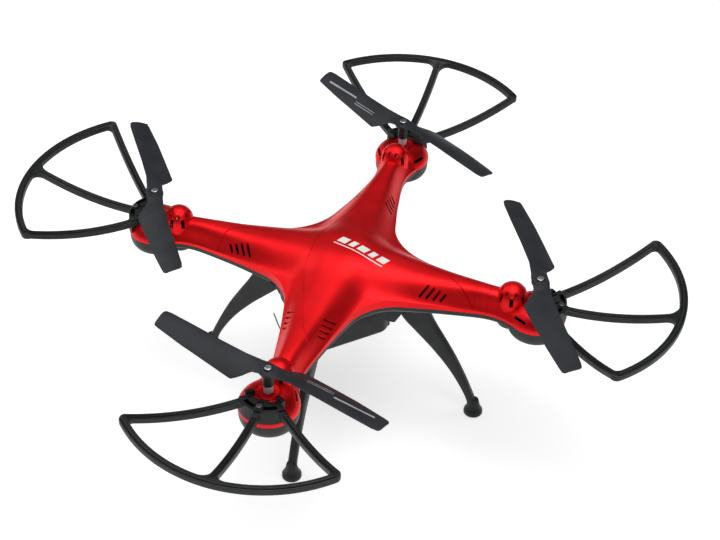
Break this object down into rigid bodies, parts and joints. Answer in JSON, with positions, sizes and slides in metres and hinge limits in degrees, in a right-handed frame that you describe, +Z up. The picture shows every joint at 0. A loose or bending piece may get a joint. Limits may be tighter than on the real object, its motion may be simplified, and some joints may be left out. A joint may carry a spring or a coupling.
{
  "type": "quadcopter drone",
  "caption": "Toy drone with a star-shaped red shell, geared two-blade propellers, clip-on sector guards, curved legs and a belly battery box.",
  "frame": {"origin": "on the ground, under the body's centre, at the level of the feet", "axes": "+Z up, +Y towards the nose, +X to the right; the arms lie on the diagonals"},
  "size_m": [0.3152, 0.3152, 0.112],
  "materials": {
    "red_paint": "satin metallic red paint on moulded plastic",
    "slate_plastic": "fine moulded texture",
    "black_plastic": "satin moulded plastic",
    "blade_plastic": "satin moulded plastic",
    "steel": "bright zinc plate",
    "dark_steel": "black oxide",
    "pale_metal": "satin",
    "motor_can": "drawn can",
    "brass": "turned",
    "white_plastic": "natural nylon",
    "board_green": "solder mask",
    "chip_black": "moulded packages",
    "battery_wrap": "shrink wrap",
    "wire_insulation": "flexible insulation",
    "antenna_insulation": "pale grey insulation",
    "clear_lens": "clear"
  },
  "bodies": {
    "root": {"top_shell": "red_paint", "bottom_shell": "slate_plastic", "battery_box": "black_plastic", "door_hinge_pin": "steel", "battery": "battery_wrap", "battery_lead": "wire_insulation", "battery_connector": "white_plastic", "circuit_board": "board_green", "board_components": "chip_black", "motor_wires": "wire_insulation", "power_switch_body": "chip_black", "shell_screws": "steel", "leg_screws": "steel", "guard_screws": "dark_steel", "status_lights": "clear_lens", "shaft_bushes": "brass", "antenna_wire": "antenna_insulation", "leg_front_right": "black_plastic", "leg_front_left": "black_plastic", "leg_rear_left": "black_plastic", "leg_rear_right": "black_plastic", "guard_front_right": "black_plastic", "guard_front_left": "black_plastic", "guard_rear_left": "black_plastic", "guard_rear_right": "black_plastic", "motor_front_right": "motor_can", "motor_front_left": "motor_can", "motor_rear_left": "motor_can", "motor_rear_right": "motor_can"},
    "rotor_front_right": {"propeller_front_right": "blade_plastic", "propeller_screw_front_right": "steel", "shaft_collar_front_right": "pale_metal", "rotor_shaft_front_right": "steel", "drive_gear_front_right": "white_plastic"},
    "pinion_front_right": {"motor_pinion_front_right": "brass"},
    "rotor_front_left": {"propeller_front_left": "blade_plastic", "propeller_screw_front_left": "steel", "shaft_collar_front_left": "pale_metal", "rotor_shaft_front_left": "steel", "drive_gear_front_left": "white_plastic"},
    "pinion_front_left": {"motor_pinion_front_left": "brass"},
    "rotor_rear_left": {"propeller_rear_left": "blade_plastic", "propeller_screw_rear_left": "steel", "shaft_collar_rear_left": "pale_metal", "rotor_shaft_rear_left": "steel", "drive_gear_rear_left": "white_plastic"},
    "pinion_rear_left": {"motor_pinion_rear_left": "brass"},
    "rotor_rear_right": {"propeller_rear_right": "blade_plastic", "propeller_screw_rear_right": "steel", "shaft_collar_rear_right": "pale_metal", "rotor_shaft_rear_right": "steel", "drive_gear_rear_right": "white_plastic"},
    "pinion_rear_right": {"motor_pinion_rear_right": "brass"},
    "battery_door": {"battery_door": "black_plastic"},
    "power_switch_slider": {"power_switch_slider": "white_plastic"}
  },
  "joints": [
    {"name": "rotor_spin_front_right", "type": "hinge", "parent": "root", "child": "rotor_front_right", "pos_m": [0.0792, 0.0792, 0.095], "axis": [0, 0, 1], "continuous": true},
    {"name": "pinion_spin_front_right", "type": "hinge", "parent": "root", "child": "pinion_front_right", "pos_m": [0.0693, 0.0693, 0.08], "axis": [0, 0, 1], "continuous": true},
    {"name": "rotor_spin_front_left", "type": "hinge", "parent": "root", "child": "rotor_front_left", "pos_m": [-0.0792, 0.0792, 0.095], "axis": [0, 0, 1], "continuous": true},
    {"name": "pinion_spin_front_left", "type": "hinge", "parent": "root", "child": "pinion_front_left", "pos_m": [-0.0693, 0.0693, 0.08], "axis": [0, 0, 1], "continuous": true},
    {"name": "rotor_spin_rear_left", "type": "hinge", "parent": "root", "child": "rotor_rear_left", "pos_m": [-0.0792, -0.0792, 0.095], "axis": [0, 0, 1], "continuous": true},
    {"name": "pinion_spin_rear_left", "type": "hinge", "parent": "root", "child": "pinion_rear_left", "pos_m": [-0.0693, -0.0693, 0.08], "axis": [0, 0, 1], "continuous": true},
    {"name": "rotor_spin_rear_right", "type": "hinge", "parent": "root", "child": "rotor_rear_right", "pos_m": [0.0792, -0.0792, 0.095], "axis": [0, 0, 1], "continuous": true},
    {"name": "pinion_spin_rear_right", "type": "hinge", "parent": "root", "child": "pinion_rear_right", "pos_m": [0.0693, -0.0693, 0.08], "axis": [0, 0, 1], "continuous": true},
    {"name": "battery_door_hinge", "type": "hinge", "parent": "root", "child": "battery_door", "pos_m": [0, 0.023, 0.0484], "axis": [-1, 0, 0], "range_deg": [0, 100]},
    {"name": "power_switch_slide", "type": "slide", "parent": "root", "child": "power_switch_slider", "axis": [1, 0, 0], "range_m": [0, 0.002]}
  ],
  "couplings": [
    {"joint": "pinion_spin_front_right", "follows": "rotor_spin_front_right", "ratio": -4.6},
    {"joint": "pinion_spin_front_left", "follows": "rotor_spin_front_left", "ratio": -4.6},
    {"joint": "pinion_spin_rear_left", "follows": "rotor_spin_rear_left", "ratio": -4.6},
    {"joint": "pinion_spin_rear_right", "follows": "rotor_spin_rear_right", "ratio": -4.6}
  ]
}
